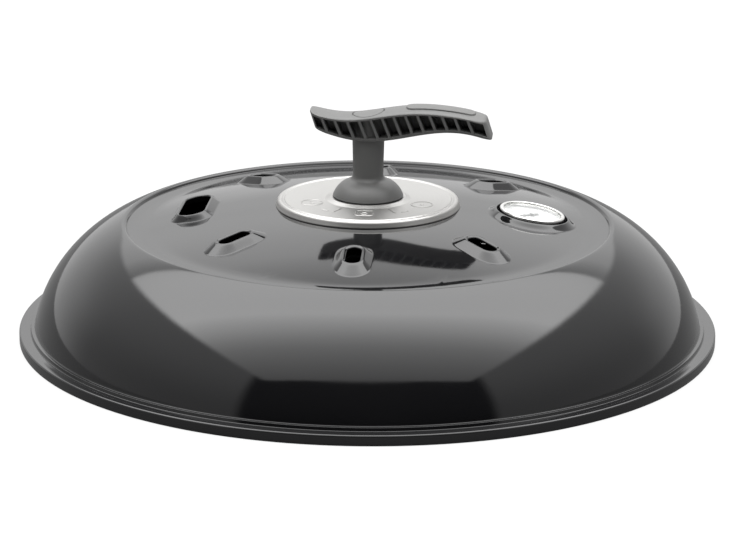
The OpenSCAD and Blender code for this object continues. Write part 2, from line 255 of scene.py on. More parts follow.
class Board:
    """A node tree, with one method that adds any node to it."""

    def __init__(self, tree):
        self.tree = tree

    def add(self, kind, settings=None, sockets=None, output=0):
        node = self.tree.nodes.new(kind)
        for name, value in (settings or {}).items():
            if name == "stops":
                self.set_stops(node.color_ramp, value)
            else:
                setattr(node, name, value)
        for name, value in (sockets or {}).items():
            if isinstance(value, Value):
                self.tree.links.new(value.socket, node.inputs[name])
            else:
                node.inputs[name].default_value = value
        return Value(self, node.outputs[output])

    @staticmethod
    def set_stops(ramp, stops):
        while len(ramp.elements) < len(stops):
            ramp.elements.new(1.0)
        for element, (place, level) in zip(ramp.elements, stops):
            element.position = place
            element.color = (level, level, level, 1)

    def maths(self, operation, *values):
        return self.add("ShaderNodeMath", {"operation": operation}, dict(enumerate(values)))

    def split(self, vector):
        """The three parts of a vector."""
        first = self.add("ShaderNodeSeparateXYZ", None, {0: vector})
        return [Value(self, output) for output in first.socket.node.outputs]

    def join(self, x, y, z):
        return self.add("ShaderNodeCombineXYZ", None, {0: x, 1: y, 2: z})

    def noise(self, vector, scale, detail=2.0, rough=0.5):
        return self.add("ShaderNodeTexNoise", None,
                        {"Vector": vector, "Scale": scale, "Detail": detail, "Roughness": rough})

    def blend(self, share, first, second):
        """A colour between two others."""
        return self.add("ShaderNodeMix", {"data_type": "RGBA"},
                        {0: share, 6: first, 7: second}, output=2)


class Finish(Board):
    """A material on the Principled shader, whose own settings are given by name."""

    def __init__(self, name, **settings):
        self.material = bpy.data.materials.new(name)
        self.material.use_nodes = True
        super().__init__(self.material.node_tree)
        self.shader = self.tree.nodes["Principled BSDF"]
        for socket, value in settings.items():
            self.shader.inputs[socket.replace("_", " ")].default_value = value
        self.place = self.add("ShaderNodeTexCoord", output="Object")

    def feed(self, **values):
        for socket, value in values.items():
            self.tree.links.new(value.socket, self.shader.inputs[socket.replace("_", " ")])

    def bump(self, height, distance, strength=1.0):
        """Relief of a height, with its full depth in millimetres."""
        normal = self.add("ShaderNodeBump", None,
                          {"Strength": strength, "Distance": distance * MM, "Height": height})
        self.feed(Normal=normal)

    def tinted(self, share, colour, other):
        self.feed(Base_Color=self.blend(share, (*colour, 1), (*other, 1)))


FINISHES = {}


def enamel(name, colour, gloss):
    """Fired porcelain enamel: black glass over steel, with a faint orange peel."""
    made = Finish(name, IOR=1.52)
    peel = made.noise(made.place, 210.0, 1.0)
    fleck = made.noise(made.place, 2600.0, 1.0).step(0.66, 0.78)
    film = made.noise(made.place, 16.0, 4.0, 0.6)
    made.tinted(fleck * 0.35 + film * 0.1, colour, [c * 3 + 0.006 for c in colour])
    made.feed(Roughness=gloss + film.step(0.35, 0.8) * 0.035 + fleck * 0.05)
    made.bump(peel + made.noise(made.place, 900.0, 1.0) * 0.15, 0.007)
    return made.material


def brushed_steel(name, colour, rough, centre=(0.0, 0.0)):
    """Steel with fine turned lines round a centre."""
    made = Finish(name, Metallic=1.0)
    x, y, _ = made.split(made.place)
    x, y = x - centre[0], y - centre[1]
    r = (x * x + y * y + 1e-8) ** 0.5
    lines = made.noise(made.join(x / r * 2.5, y / r * 2.5, r * 2400.0), 1.0, 3.0, 0.65)
    wipe = made.noise(made.place, 38.0, 3.0)
    made.tinted(lines * 0.5 + wipe * 0.3, colour, [c * 0.88 for c in colour])
    made.feed(Roughness=rough + lines * 0.12 + wipe * 0.06)
    made.bump(lines, 0.012)
    return made.material


def plated(name, colour, rough):
    """Plated fastener metal with faint crystals and stains."""
    made = Finish(name, Metallic=1.0)
    grain = made.add("ShaderNodeTexVoronoi", None, {"Vector": made.place, "Scale": 900.0})
    stain = made.noise(made.place, 120.0, 4.0, 0.6)
    made.tinted(stain.step(0.4, 0.75), colour, [c * 0.72 for c in colour])
    made.feed(Roughness=rough + grain * 0.15 + stain * 0.1)
    made.bump(grain * 0.3 + stain, 0.02)
    return made.material


def moulded(name, colour, rough, depth=0.035):
    """Glass-filled moulded plastic with a spark-eroded grain."""
    made = Finish(name, IOR=1.5)
    grain = made.noise(made.place, 1900.0, 2.0, 0.6)
    cloud = made.noise(made.place, 42.0, 4.0, 0.6)
    fibre = made.noise(made.place, 3600.0, 1.0).step(0.62, 0.8)
    made.tinted(cloud * 0.5 + fibre * 0.4, colour, [c * 1.5 for c in colour])
    made.feed(Roughness=rough + grain * 0.12 + cloud * 0.08)
    made.bump(grain, depth)
    return made.material


def rubber(name, colour):
    """Soft gasket rubber with a dusty skin."""
    made = Finish(name)
    dust = made.noise(made.place, 260.0, 5.0, 0.7)
    made.tinted(dust.step(0.5, 0.8), colour, [c * 1.8 + 0.01 for c in colour])
    made.feed(Roughness=0.62 + dust * 0.25)
    made.bump(made.noise(made.place, 2500.0, 2.0), 0.03)
    return made.material


def glass(name):
    made = Finish(name, IOR=1.46, Transmission_Weight=1.0)
    haze = made.noise(made.place, 160.0, 3.0)
    made.tinted(haze * 0.2, (0.98, 0.99, 0.99), (0.93, 0.95, 0.95))
    made.feed(Roughness=0.015 + haze.step(0.5, 0.9) * 0.05)
    return made.material


def printed(name, colour, rough):
    """Painted sheet metal."""
    made = Finish(name)
    paint = made.noise(made.place, 700.0, 3.0)
    made.tinted(paint * 0.5, colour, [c * 0.9 for c in colour])
    made.feed(Roughness=rough + paint * 0.1)
    made.bump(paint, 0.01)
    return made.material


def make_finishes(look):
    FINISHES.update({
        "black_enamel": enamel("black_enamel", look.enamel[:], 0.06),
        "dark_enamel": enamel("dark_enamel", look.enamel[:], 0.22),
        "brushed_stainless": brushed_steel("brushed_stainless", look.bare_steel[:], 0.33),
        "polished_steel": brushed_steel("polished_steel", look.stainless[:], 0.12, (RING_R * MM, 0.0)),
        "zinc_steel": plated("zinc_steel", (0.58, 0.59, 0.61), 0.28),
        "brass_fitting": plated("brass_fitting", (0.70, 0.52, 0.25), 0.22),
        "grip_plastic": moulded("grip_plastic", look.plastic[:], 0.36),
        "stem_plastic": moulded("stem_plastic", look.plastic[:], 0.34),
        "black_gasket": rubber("black_gasket", (0.012, 0.012, 0.012)),
        "red_gasket": rubber("red_gasket", (0.22, 0.045, 0.03)),
        "dial_glass": glass("dial_glass"),
        "dial_face": printed("dial_face", (0.86, 0.86, 0.84), 0.4),
        "pointer_black": printed("pointer_black", (0.02, 0.02, 0.02), 0.35),
    })


# ---- Lid -----------------------------------------------------------------------------------
def leaned(x, y, lift):
    """A point over the panel, lifted square to the panel's slope at the ring of openings."""
    z = panel_z(math.hypot(x, y))
    return Vector((x + lift * math.sin(SEAT_TILT), y, z + lift * math.cos(SEAT_TILT)))


def sector_border():
    """Plan of one eighth of the belt: its outer arc, a side, its inner arc and the other side."""
    half = 180 / 8
    outer = arc((0, 0), OUTER_R, -half, half, ARC_STEPS)
    inner = arc((0, 0), INNER_R, half, -half, INNER_STEPS)
    side = [Vector(outer[-1]).lerp(Vector(inner[0]), i / SIDE_STEPS) for i in range(1, SIDE_STEPS)]
    other = [Vector((p.x, -p.y)) for p in reversed(side)]
    return [Vector(p) for p in outer] + side + [Vector(p) for p in inner] + other


def core_of(ray, half_length, along, radius):
    """Where a ray from a slot's middle leaves it: the nearest point of its spine and the normal."""
    a, b = (ray.x, ray.y) if along == "radius" else (ray.y, ray.x)
    size = math.hypot(a, b)
    a, b = a / size, b / size
    reach = radius / max(abs(b), 1e-9)
    if abs(a * reach) <= half_length:
        spine, normal = a * reach, (0.0, math.copysign(1.0, b))
    else:
        spine = math.copysign(half_length, a)
        reach = half_length * abs(a) + math.sqrt(radius ** 2 - (half_length * b) ** 2)
        normal = ((a * reach - spine) / radius, b * reach / radius)
    if along == "radius":
        return Vector((spine, 0)), Vector(normal), abs(normal[0])
    return Vector((0, spine)), Vector((normal[1], normal[0])), abs(normal[0])


def belt_sector(bm, turn, middle_r, half_length, along, section):
    """Draws one eighth of the belt inwards to its opening. The section's rows are the distance
    from the slot's spine at its sides, the distance at its ends, and the height."""
    border = sector_border()
    middle = Vector((middle_r, 0))
    base_side, base_end, _ = section[0]
    cores = [core_of(p - middle, half_length, along, base_side) for p in border]

    def loop_at(side, end, lift):
        points = []
        for spine, normal, endness in cores:
            flat = middle + spine + normal * (side + (end - side) * endness ** 2)
            points.append(leaned(flat.x, flat.y, lift))
        return points

    base = loop_at(base_side, base_end, 0.0)
    spin = Matrix.Rotation(math.radians(turn), 3, "Z")
    loop = ring(bm, [spin @ leaned(p.x, p.y, 0.0) for p in border])
    for share in (0.12, 0.26, 0.41, 0.56, 0.7, 0.82, 0.9, 0.96):
        flats = [p.lerp(q.xy, share) for p, q in zip(border, base)]
        loop = grow(bm, loop, [spin @ leaned(p.x, p.y, 0.0) for p in flats])
    for side, end, lift in section:
        loop = grow(bm, loop, [spin @ p for p in loop_at(side, end, lift)])


SMOKE_SECTION = [
    (13.0, 17.5, 0.0), (12.7, 17.1, 0.12), (12.3, 16.5, 0.45), (10.9, 14.0, 1.75), (9.5, 11.5, 3.05),
    (8.3, 9.4, 4.15), (7.8, 8.6, 4.55), (7.3, 7.8, 4.85), (6.9, 7.2, 4.97), (6.5, 6.7, 4.92),
    (6.1, 6.2, 4.75), (5.5, 5.5, 4.4), (5.15, 5.15, 4.1), (5.02, 5.02, 3.7), (5.0, 5.0, 2.7)]
HANG_SECTION = [
    (15.5, 13.4, 0.0), (15.2, 13.1, 0.15), (14.8, 12.8, 0.5), (13.6, 12.2, 1.5), (12.4, 11.7, 2.6),
    (11.6, 11.2, 3.5), (11.1, 10.8, 4.0), (10.7, 10.5, 4.35), (10.3, 10.2, 4.55), (9.9, 9.9, 4.55),
    (9.5, 9.5, 4.35), (9.15, 9.15, 4.0), (9.02, 9.02, 3.5), (9.0, 9.0, 2.5)]
SEAT_SECTION = [(r, r, w) for r, w in (
    (32.0, 0.0), (31.2, 0.12), (30.3, 0.5), (29.4, 1.1), (28.5, 1.8), (27.7, 2.5), (27.0, 3.1),
    (26.4, 3.5), (25.9, 3.7), (25.5, 3.65), (25.25, 3.4), (25.2, 2.9), (25.2, 0.5), (25.2, -1.6),
    (25.0, -2.05), (24.5, -2.28), (23.5, -2.3), (16.0, -2.3), (5.4, -2.3))]


class KETTLELID_OT_dome(bpy.types.Operator):
    """Spin the enamelled dome and press its smoke slots, hang slot and thermometer seat"""
    bl_idname = "kettle_lid.dome"
    bl_label = "Dome"

    def execute(self, context):
        lid = context.scene.lid_sizes
        rim = lid.rim_radius / MM
        bm = bmesh.new()
        inner = (CENTRE_HOLE_R, 12, 18, FLAT_R, 30, 40, 50, 60, 70, INNER_R)
        lathe(bm, [(r, panel_z(r)) for r in inner],
              8 * INNER_STEPS)
        for turn in SMOKE_SLOTS:
            belt_sector(bm, turn, RING_R, SMOKE_HALF, "radius", SMOKE_SECTION)
        belt_sector(bm, 180, HANG_R, HANG_HALF, "across", HANG_SECTION)
        belt_sector(bm, 0, GAUGE_R, 0.0, "radius", SEAT_SECTION)
        step = rounded([(169, panel_z(169), 0), (CREST_FOOT_R, panel_z(CREST_FOOT_R), 0.6),
                        (172.57, 81.12, 0)], 6)
        profile = [(r, panel_z(r)) for r in (OUTER_R, 163, 166)] + step[:-1]
        profile += arc(CREST_C, CREST_R, CREST_START, CREST_END, 9)
        profile += arc(WALL_C, WALL_R, WALL_HIGH, WALL_LOW, 36)
        profile += rounded([
            (239.0, 10.1, 0), (239.3, 9.8, 0.2), (241.5, 9.75, 0.3),
            (242.0, LEDGE_Z, 0.5), (rim - 4, LEDGE_Z, 0)], 4)
        profile += arc((rim - LIP_R, LEDGE_Z - LIP_R), LIP_R, 90, 0, 8)
        profile += [(rim, 3.0), (rim, 0.35), (rim - 0.25, 0.0)]
        lathe(bm, profile, 8 * ARC_STEPS)
        made = piece("lid_shell", bm, FINISHES["black_enamel"], "black_enamel", "lid", "lid_dome",
                     sharp=50)
        wall(made, lid.sheet / MM)
        return {"FINISHED"}


# ---- Disc ----------------------------------------------------------------------------------
class KETTLELID_OT_disc(bpy.types.Operator):
    """Spin the stainless disc under the handle, with its raised middle and rolled edge"""
    bl_idname = "kettle_lid.disc"
    bl_label = "Disc"

    def execute(self, context):
        disc_r = context.scene.lid_sizes.disc_radius / MM
        bm = bmesh.new()
        profile = rounded([
            (CENTRE_HOLE_R, DISC_TOP_Z, 0), (26.9, DISC_TOP_Z, 0.6), (30.5, DISC_Z, 1.6),
            (disc_r - 7.2, DISC_Z, 0)], 5)
        profile += rounded([
            (disc_r - 6.6, DISC_Z, 0.0), (disc_r - 6.0, DISC_Z - 0.5, 0.3),
            (disc_r - 5.4, DISC_Z - 0.5, 0.3), (disc_r - 4.4, DISC_Z + 0.05, 0.0)], 3)
        profile += arc((disc_r - DISC_ROLL_IN, DISC_Z - 2.5), DISC_ROLL_R, 100, 14, 10)
        profile += [(disc_r - 0.35, panel_z(disc_r) + 1.0), (disc_r, panel_z(disc_r) + 0.15)]
        lathe(bm, profile, 144)
        made = piece("handle_disc", bm, FINISHES["brushed_stainless"], "brushed_stainless", "lid",
                     "heat_shield_disc")
        wall(made, 0.8)
        return {"FINISHED"}


def shifted(line, distance):
    """A closed line of flat points moved outwards by a distance."""
    moved = []
    for i, here in enumerate(line):
        along = (Vector(line[(i + 1) % len(line)]) - Vector(line[i - 1])).normalized()
        moved.append((here[0] + along.y * distance, here[1] - along.x * distance))
    return moved


def circle(radius, steps=24):
    return arc((0, 0), radius, 0, 360 * (steps - 1) / steps, steps - 1)


def frame_line(half_x, half_y, corner):
    """A rounded rectangle about the middle."""
    return rounded([(-half_x, -half_y, corner), (half_x, -half_y, corner),
                    (half_x, half_y, corner), (-half_x, half_y, corner)], 4, closed=True)


class KETTLELID_OT_marks(bpy.types.Operator):
    """Press the plain position marks of the handle into the disc"""
    bl_idname = "kettle_lid.marks"
    bl_label = "Marks"

    def execute(self, context):
        bm = bmesh.new()
        # Angle on the disc, distance from its axis, outline, and the width of its bead or None
        marks = [(271, 41.5, frame_line(6.0, 6.4, 2.0), 1.1), (271, 42.5, circle(2.4), 0.9),
                 (340, 42.0, circle(7.6, 36), 0.9), (203, 42.0, circle(7.6, 36), 0.9),
                 (340, 42.0, circle(1.6), None), (203, 42.0, frame_line(3.4, 0.8, 0.7), None),
                 (242, 40.0, frame_line(0.7, 6.0, 0.6), None),
                 (300, 40.0, frame_line(0.7, 6.0, 0.6), None),
                 (232, 45.0, frame_line(3.2, 0.7, 0.6), None),
                 (310, 45.0, frame_line(3.2, 0.7, 0.6), None)]
        for angle, distance, line, bead in marks:
            spin = Matrix.Rotation(math.radians(angle + 90), 3, "Z")
            middle = spin @ Vector((0, -distance, DISC_Z))

            def loop_at(flat, lift):
                return [middle + spin @ Vector((x, y, lift)) for x, y in flat]

            if bead:
                section = [(bead / 2, BEAD_BASE), (bead / 5, BEAD_TOP), (-bead / 5, BEAD_TOP),
                           (-bead / 2, BEAD_BASE), (-bead / 2, BEAD_FOOT)]
                low = loop = ring(bm, loop_at(shifted(line, bead / 2), BEAD_FOOT))
                for aside, lift in section:
                    loop = grow(bm, loop, loop_at(shifted(line, aside), lift))
                bridge(bm, low, loop)
            else:
                low = ring(bm, loop_at(line, BEAD_FOOT))
                bm.faces.new(low)
                loop = grow(bm, low, loop_at(line, 0.12))
                loop = grow(bm, loop, loop_at(shifted(line, -0.35), 0.35))
                bm.faces.new(loop)
        piece("disc_marks", bm, FINISHES["brushed_stainless"], "brushed_stainless", "lid")
        return {"FINISHED"}


# ---- Grip ----------------------------------------------------------------------------------
def wave(powers, x):
    """One of the grip's two long curves, in powers of the distance from x = 20."""
    return sum(power * ((x - 20) / 60) ** i for i, power in enumerate(powers))


def grip_top(x):
    return wave((165.3, 8.2, -10.0, -11.8, 13.1, 2.3, -5.8), x)


def grip_low(x):
    return wave((145.5, 10.9, 9.1, -17.5, -4.3, 4.8), x)


def crown_drop(y):
    """How far the grip's top falls away from its middle line."""
    return 1.9 * (y / 15) ** 2


def at_height(s, lean, height):
    """Height of one of the grip's long lines at a leaning station."""
    x = s
    for _ in range(6):
        x = s - lean * (height(x) - GRIP_MIDDLE_Z)
    return height(x)


def grip_stations():
    """Stations along the grip: each has its place, its lean and the pocket it belongs to."""
    edges = [GRIP_LEFT + 1.9]
    for i in range(RIB_COUNT):
        middle = FIRST_RIB + i * RIB_PITCH
        edges += [middle - RIB_HALF, middle + RIB_HALF]
    edges.append(GRIP_RIGHT - 2.6)
    places = [(GRIP_LEFT + e, None) for e in END_INSETS]
    for pocket in range(len(edges) // 2):
        start, end = edges[2 * pocket], edges[2 * pocket + 1]
        places += [(start + (end - start) * k / 7, pocket) for k in range(8)]
    places += [(GRIP_RIGHT - e, None) for e in reversed(END_INSETS)]
    stations = []
    for s, pocket in places:
        inset = min(s - GRIP_LEFT, GRIP_RIGHT - s)
        share = min(1.0, inset / 9)
        stations.append((s, END_LEAN + (RIB_LEAN - END_LEAN) * share, pocket, inset))
    return stations


def rounding(radius, inset):
    """How far a rounded end has grown out at a distance from its tip."""
    return math.sqrt(max(0.0, radius ** 2 - max(0.0, radius - inset) ** 2))


def grip_loop(s, lean, inset):
    """Section of the grip at a station, from the middle of its top round to where it started."""
    slim = GRIP_SLIM * (GRIP_RIGHT - s) / (GRIP_RIGHT - GRIP_LEFT)
    half = GRIP_HALF - slim - GRIP_CORNER + rounding(GRIP_CORNER, inset)
    soften = GRIP_ROUND - rounding(GRIP_ROUND, inset)
    top = at_height(s, lean, grip_top) - soften
    low = at_height(s, lean, grip_low) + soften * 0.6
    brow = top - crown_drop(half)
    right = [(half * k / 8, top - crown_drop(half * k / 8)) for k in range(8)]
    right[-1] = (half - 1.5, top - crown_drop(half - 1.5))
    right += [(half - 0.7, brow + 0.02), (half - 0.2, brow - 0.3), (half, brow - 0.75),
              (half, top - 3.2 + min(0.0, brow - top + 1.9))]
    right += [(half, low + 2.0), (half, low + 0.7), (half - 0.25, low + 0.2), (half - 0.8, low)]
    right += [(half * k / 4, low) for k in (3, 2, 1)]
    loop = right + [(0.0, low)] + [(-y, z) for y, z in reversed(right[1:])]
    return [Vector((s - lean * (z - GRIP_MIDDLE_Z), y, z)) for y, z in loop]


def pocket_floor(x):
    """How far from the middle plane a pocket's floor lies: on the web, or round the boss."""
    return max(WEB_HALF, math.sqrt(max(0.0, BOSS_R ** 2 - x ** 2)))


def cut(made, cutter_bm):
    """Takes the cutter's shape out of a piece's mesh."""
    bmesh.ops.recalc_face_normals(cutter_bm, faces=cutter_bm.faces)
    bmesh.ops.scale(cutter_bm, vec=(MM, MM, MM), verts=cutter_bm.verts)
    mesh = bpy.data.meshes.new("cutter")
    cutter_bm.to_mesh(mesh)
    cutter_bm.free()
    cutter = bpy.data.objects.new("cutter", mesh)
    bpy.context.scene.collection.objects.link(cutter)
    hole = made.modifiers.new("Hole", "BOOLEAN")
    hole.operation = "DIFFERENCE"
    hole.solver = "EXACT"
    hole.object = cutter
    graph = bpy.context.evaluated_depsgraph_get()
    result = bpy.data.meshes.new_from_object(made.evaluated_get(graph))
    made.modifiers.clear()
    made.data = result
    bpy.data.objects.remove(cutter)
    smoothed(result)


class KETTLELID_OT_grip(bpy.types.Operator):
    """Loft the grip through its stations and sink the pockets between its leaning ribs"""
    bl_idname = "kettle_lid.grip"
    bl_label = "Grip"

    def execute(self, context):
        bm = bmesh.new()
        stations = grip_stations()
        loops = []
        for s, lean, _, inset in stations:
            points = grip_loop(s, lean, inset)
            loops.append(grow(bm, loops[-1], points) if loops else ring(bm, points))
        bm.faces.new(loops[0])
        bm.faces.new(loops[-1])
        bmesh.ops.recalc_face_normals(bm, faces=bm.faces)
        size = len(loops[0])
        brow = 11
        sides = ((brow, brow + 1), (size - brow, size - brow - 1))
        for pocket in range(RIB_COUNT + 1):
            members = [i for i, station in enumerate(stations) if station[2] == pocket]
            for upper, lower in sides:
                faces = []
                for i, j in zip(members, members[1:]):
                    corners = [loops[i][upper], loops[i][lower], loops[j][lower], loops[j][upper]]
                    faces.append(next(f for f in corners[0].link_faces
                                      if all(c in f.verts for c in corners)))
                made = bmesh.ops.extrude_face_region(bm, geom=faces)["geom"]
                for vert in (g for g in made if isinstance(g, bmesh.types.BMVert)):
                    vert.co.y = math.copysign(pocket_floor(vert.co.x), vert.co.y)
                stale = [f for f in faces if f.is_valid]
                bmesh.ops.delete(bm, geom=stale, context="FACES_ONLY")
        neck = rounded([(STEM_BORE_R, SEAM_Z, 0.0), (STEM_TOP_R, SEAM_Z, 0.45),
                        (STEM_TOP_R, 149.5, 0.0), (STEM_BORE_R, 149.5, 0.0)])
        lathe(bm, neck, 72, closed=True)
        made = piece("grip_body", bm, FINISHES["grip_plastic"], "grip_plastic", "handle",
                     "handle_grip")
        hole = bmesh.new()
        lathe(hole, [(0, 158.8), (11.3, 158.8), (11.3, 161.2), (11.9, 162.1), (11.9, 175), (0, 175)], 64)
        bmesh.ops.remove_doubles(hole, verts=hole.verts, dist=0.002)
        for vert in hole.verts:
            if 160 < vert.co.z < 170:
                vert.co.z += grip_top(vert.co.x) - crown_drop(vert.co.y) - 161.95
        cut(made, hole)
        return {"FINISHED"}


class KETTLELID_OT_grip_pad(bpy.types.Operator):
    """Add the low raised pad on the long arm of the grip"""
    bl_idname = "kettle_lid.grip_pad"
    bl_label = "Grip pad"

    def execute(self, context):
        bm = bmesh.new()
        plan = ((PAD_START, -PAD_HALF), (PAD_END, -PAD_HALF), (PAD_END, PAD_HALF),
                (PAD_START, PAD_HALF))
        outline = rounded([(x, y, PAD_CORNER) for x, y in plan], 8, closed=True)
        line = []
        for (x0, y0), (x1, y1) in zip(outline, outline[1:] + outline[:1]):
            pieces = max(1, round(math.hypot(x1 - x0, y1 - y0) / 3))
            line += [(x0 + (x1 - x0) * k / pieces, y0 + (y1 - y0) * k / pieces)
                     for k in range(pieces)]

        def loop_at(inset, lift):
            points = []
            for x, y in line:
                spine = min(max(x, PAD_START + PAD_HALF), PAD_END - PAD_HALF)
                away = Vector((x - spine, y))
                away *= (PAD_HALF - inset) / PAD_HALF
                points.append((spine + away.x, away.y,
                               grip_top(spine + away.x) - crown_drop(away.y) + lift))
            return points

        loop = ring(bm, loop_at(0.0, -0.8))
        bm.faces.new(loop)
        for inset, lift in ((0.0, 0.4), (0.1, 0.75), (0.4, 1.0), (0.9, 1.12), (2.0, 1.18),
                            (4.5, 1.18), (7.19, 1.18)):
            loop = grow(bm, loop, loop_at(inset, lift))
        bm.faces.new(loop)
        piece("grip_pad", bm, FINISHES["grip_plastic"], "grip_plastic", "handle")
        return {"FINISHED"}


class KETTLELID_OT_cap(bpy.types.Operator):
    """Add the flush cap over the handle's bolt"""
    bl_idname = "kettle_lid.cap"
    bl_label = "Cap"

    def execute(self, context):
        bm = bmesh.new()
        lathe(bm, [(0, 0.05), (3, 0.05), (6, 0.05), (9, 0.05), (10.3, 0.05), (10.65, -0.05),
                   (10.9, -0.3), (11.05, -0.8), (11.05, -1.6), (11.05, -10), (0, -10)], 72)
        for vert in bm.verts:
            if vert.co.z > -5:
                vert.co.z += grip_top(vert.co.x) - crown_drop(vert.co.y)
            else:
                vert.co.z = 158.85
        piece("grip_cap", bm, FINISHES["grip_plastic"], "grip_plastic", "handle", "screw_cap")
        return {"FINISHED"}


class KETTLELID_OT_stem(bpy.types.Operator):
    """Spin the stem with its flared foot"""
    bl_idname = "kettle_lid.stem"
    bl_label = "Stem"

    def execute(self, context):
        bm = bmesh.new()
        across = STEM_WAIST_R + STEM_FILLET - FOOT_C[0]
        rise = math.sqrt((FOOT_R + STEM_FILLET) ** 2 - across ** 2)
        high = math.degrees(math.atan2(rise, across))
        low = math.degrees(math.asin((FOOT_LOW_Z - FOOT_C[1]) / FOOT_R))
        profile = [(STEM_BORE_R, 104.0), (12.0, 104.0), (12.0, 101.3), (25.0, 101.3),
                   (25.2, 101.42)]
        profile += arc(FOOT_C, FOOT_R, low, high, 16)
        profile += arc((FOOT_C[0] + across, FOOT_C[1] + rise), STEM_FILLET, 180 + high - 8, 180, 8)
        profile += rounded([(10.85, 121.0, 0), (STEM_TOP_R, SEAM_Z, 0.45),
                            (STEM_BORE_R, SEAM_Z, 0)], 4)
        lathe(bm, profile, 96, closed=True)
        piece("grip_stem", bm, FINISHES["stem_plastic"], "stem_plastic", "handle", "handle_stem")
        return {"FINISHED"}


# ---- Thermometer ---------------------------------------------------------------------------
class KETTLELID_OT_gauge(bpy.types.Operator):
    """Spin the thermometer's polished bezel"""
    bl_idname = "kettle_lid.gauge"
    bl_label = "Thermometer"

    def execute(self, context):
        bezel_r = context.scene.lid_sizes.bezel_radius / MM
        bm = bmesh.new()
        profile = rounded([
            (bezel_r - 0.85, 2.4, 0.0), (bezel_r, 2.4, 0.3), (bezel_r, 6.0, 1.3),
            (bezel_r - 2.6, 6.0, 0.7), (bezel_r - 3.1, 5.05, 0.25), (bezel_r - 0.85, 5.05, 0.0)], 6,
            closed=True)
        lathe(bm, profile, 120, closed=True)
        seat(bm)
        piece("gauge_bezel", bm, FINISHES["polished_steel"], "polished_steel", "lid",
              "thermometer_bezel")
        return {"FINISHED"}


class KETTLELID_OT_fittings(bpy.types.Operator):
    """Give the frame's own nodes their finishes"""
    bl_idname = "kettle_lid.fittings"
    bl_label = "Fittings"

    def execute(self, context):
        for part in frame["record"]["subparts"]:
            mesh = frame["nodes"][part["node"]].data
            mesh.materials.clear()
            mesh.materials.append(FINISHES[part["material_slot"]])
        return {"FINISHED"}


# ---- Stage ---------------------------------------------------------------------------------
LIGHT_GRADIENT = [(-1.25, 1.0), (-1.07, 1.25), (-0.81, 1.6), (-0.6, 2.0), (-0.42, 2.5),
                  (-0.27, 3.3), (-0.105, 4.5), (0.14, 6.1), (0.53, 4.9), (1.08, 3.2), (1.14, 1.1),
                  (1.3, 1.4), (1.55, 1.75), (2.3, 1.6), (3.4, 1.25), (5.0, 1.05)]


class KETTLELID_OT_stage(bpy.types.Operator):
    """Set the pale floor, the soft studio light and the camera"""
    bl_idname = "kettle_lid.stage"
    bl_label = "Stage"

    def execute(self, context):
        stage = context.scene.lid_stage
        bm = bmesh.new()
        bmesh.ops.create_grid(bm, x_segments=1, y_segments=1, size=30)
        mesh = bpy.data.meshes.new("floor")
        bm.to_mesh(mesh)
        bm.free()
        floor = bpy.data.objects.new("floor", mesh)
        context.scene.collection.objects.link(floor)
        pale = Finish("pale_floor", Roughness=0.9, Specular_IOR_Level=0.0)
        x, y, _ = pale.split(pale.place)
        # Painted shade: the floor's glow is cut off inside a radius of 0.2485 m, so the floor under the
        # lid stays dark as if the lid shaded it.
        outside_painted_shade = ((x * x + y * y) ** 0.5).step(0.2485, 0.2495)
        pale.shader.inputs["Base Color"].default_value = (0.08, 0.08, 0.08, 1)
        pale.shader.inputs["Emission Strength"].default_value = stage.floor_glow
        # Painted reflection: the floor glows 85% less to glossy rays, so its reflection in the enamel is
        # darker than the floor itself.
        mirrored = pale.add("ShaderNodeLightPath", output="Is Glossy Ray")
        glow = outside_painted_shade * (1.0 - mirrored * 0.85)
        pale.feed(Emission_Color=pale.blend(glow, (0, 0, 0, 1), (1, 1, 1, 1)))
        mesh.materials.append(pale.material)
        self.studio(context.scene, stage)
        lens = bpy.data.cameras.new("camera")
        lens.lens = stage.lens
        lens.sensor_width = 36.0
        camera = bpy.data.objects.new("camera", lens)
        context.scene.collection.objects.link(camera)
        turn = (Matrix.Rotation(stage.heading, 4, "Z")
                @ Matrix.Rotation(math.radians(90) - stage.pitch, 4, "X")
                @ Matrix.Rotation(stage.roll, 4, "Z"))
        camera.matrix_world = Matrix.Translation(stage.camera_place[:]) @ turn
        context.scene.camera = camera
        context.scene.view_settings.view_transform = "Standard"
        return {"FINISHED"}

    @staticmethod
    def studio(scene, stage):
        """A studio of soft light: a long box overhead, pale walls and a dark side in front."""
        world = bpy.data.worlds.new("studio")
        world.use_nodes = True
        scene.world = world
        air = Board(world.node_tree)
        x, y, z = air.split(air.add("ShaderNodeTexCoord", output="Generated"))
        ahead = (-math.sin(stage.heading), math.cos(stage.heading))
        forward = x * ahead[0] + y * ahead[1]
        sideways = x * ahead[1] - y * ahead[0]
        height = air.maths("MAXIMUM", z, 0.02)
        low, high = LIGHT_GRADIENT[0][0], LIGHT_GRADIENT[-1][0]
        peak = max(level for _, level in LIGHT_GRADIENT)
        stops = [((a - low) / (high - low), level / peak) for a, level in LIGHT_GRADIENT]
        run = (forward / height - low) / (high - low)
        box = air.add("ShaderNodeValToRGB", {"stops": stops}, {0: run}) * peak
        inside = 1.0 - (abs(sideways / height)).step(0.9, 1.0)
        inside = inside * (forward / height).step(-1.22, -1.14)
        level = (forward * forward + sideways * sideways + 1e-6) ** 0.5
        back = (forward / level).step(0.3, 0.75)
        walls = 0.5 + z.step(0.1, 0.8) * 0.45
        walls = walls + back * (1.0 - walls) * (1.0 - z.step(0.25, 0.6))
        front = (0.0 - forward / level).step(0.70, 0.76) * (1.0 - z.step(0.60, 0.66))
        around = walls * (1.0 - front * 0.985)
        glow = around + inside * z.step(0.0, 0.12) * (box - around)
        background = world.node_tree.nodes["Background"]
        world.node_tree.links.new(glow.socket, background.inputs["Color"])
        background.inputs["Strength"].default_value = stage.light


